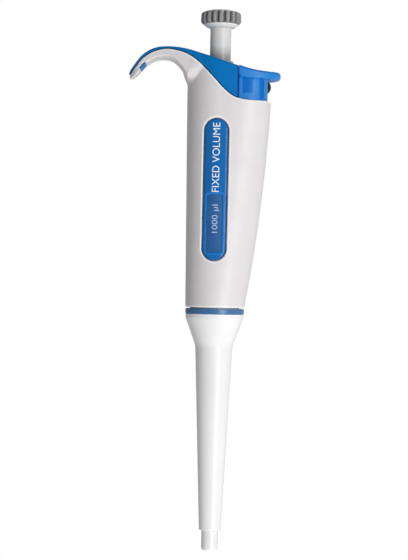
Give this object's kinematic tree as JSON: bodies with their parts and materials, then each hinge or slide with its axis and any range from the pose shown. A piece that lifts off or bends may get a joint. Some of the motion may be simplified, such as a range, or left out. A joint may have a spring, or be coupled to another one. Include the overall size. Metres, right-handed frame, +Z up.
{
  "type": "micropipette",
  "caption": "Hand-held fixed-volume air-displacement pipette with a finger hook, two-stop sprung push button, thumb tip ejector and a long tapered ejector sleeve.",
  "frame": {"origin": "centre of the nozzle's open end", "axes": "+Z up the plunger's axis to the push button, +X to the thumb ejector, -X to the finger hook, -Y the face that carries the name plate"},
  "size_m": [0.0705, 0.0296, 0.2487],
  "materials": {
    "shell_white": "satin gloss, fine moulded grain",
    "sleeve_white": "gloss",
    "cone_white": "gloss",
    "cover_blue": "satin gloss",
    "ejector_blue": "satin gloss",
    "ring_blue": "satin",
    "plate_blue": "clear tinted gloss",
    "label_blue": "printed film",
    "button_grey": "satin, moulded flutes",
    "plunger_grey": "satin gloss",
    "collar_grey": "satin",
    "inner_white": "moulded",
    "seal_white": "polished",
    "black_rubber": "smooth",
    "nut_alloy": "satin anodised",
    "steel": "turned and drawn",
    "spring_steel": "bright wire"
  },
  "bodies": {
    "handle": {"handle_shell": "shell_white", "top_cover": "cover_blue", "name_plate": "plate_blue", "volume_label": "label_blue", "chassis_tube": "inner_white", "chassis_screws": "steel", "calibration_collar": "collar_grey", "stop_ring": "steel", "spring_seat": "steel", "blowout_spring": "spring_steel", "tip_cone": "cone_white", "cylinder_nut": "nut_alloy", "piston_seal": "seal_white", "seal_ring": "black_rubber", "seal_retainer": "inner_white", "ejector_guide_pin": "steel", "ejector_spring": "spring_steel"},
    "second_stop": {"stop_cup": "inner_white", "main_spring": "spring_steel"},
    "spring_carrier": {"spring_carrier": "inner_white"},
    "plunger": {"plunger_sleeve": "plunger_grey", "push_button": "button_grey", "operating_rod": "steel", "rod_clip": "steel", "piston": "seal_white"},
    "ejector": {"ejector_button": "ejector_blue", "ejector_arm": "steel", "ejector_screws": "steel", "sleeve_neck": "inner_white", "sleeve_ring": "ring_blue", "ejector_sleeve": "sleeve_white", "catch_spring": "spring_steel"},
    "release_catch": {"release_catch": "black_rubber"}
  },
  "joints": [
    {"name": "blowout_press", "type": "slide", "parent": "handle", "child": "second_stop", "axis": [0, 0, -1], "range_m": [0, 0.002], "stiffness_N_per_m": 1200, "springref_m": -0.005, "deforming": ["blowout_spring"]},
    {"name": "plunger_press", "type": "slide", "parent": "second_stop", "child": "spring_carrier", "axis": [0, 0, -1], "range_m": [0, 0.01], "stiffness_N_per_m": 150, "springref_m": -0.014, "deforming": ["main_spring"]},
    {"name": "plunger_spin", "type": "hinge", "parent": "spring_carrier", "child": "plunger", "pos_m": [0, 0, 0.2], "axis": [0, 0, 1], "continuous": true},
    {"name": "ejector_press", "type": "slide", "parent": "handle", "child": "ejector", "axis": [0, 0, -1], "range_m": [0, 0.0065], "stiffness_N_per_m": 120, "springref_m": -0.012, "deforming": ["ejector_spring"]},
    {"name": "catch_press", "type": "slide", "parent": "ejector", "child": "release_catch", "axis": [-1, 0, 0], "range_m": [0, 0.0012], "stiffness_N_per_m": 100, "springref_m": -0.004, "deforming": ["catch_spring"]}
  ]
}
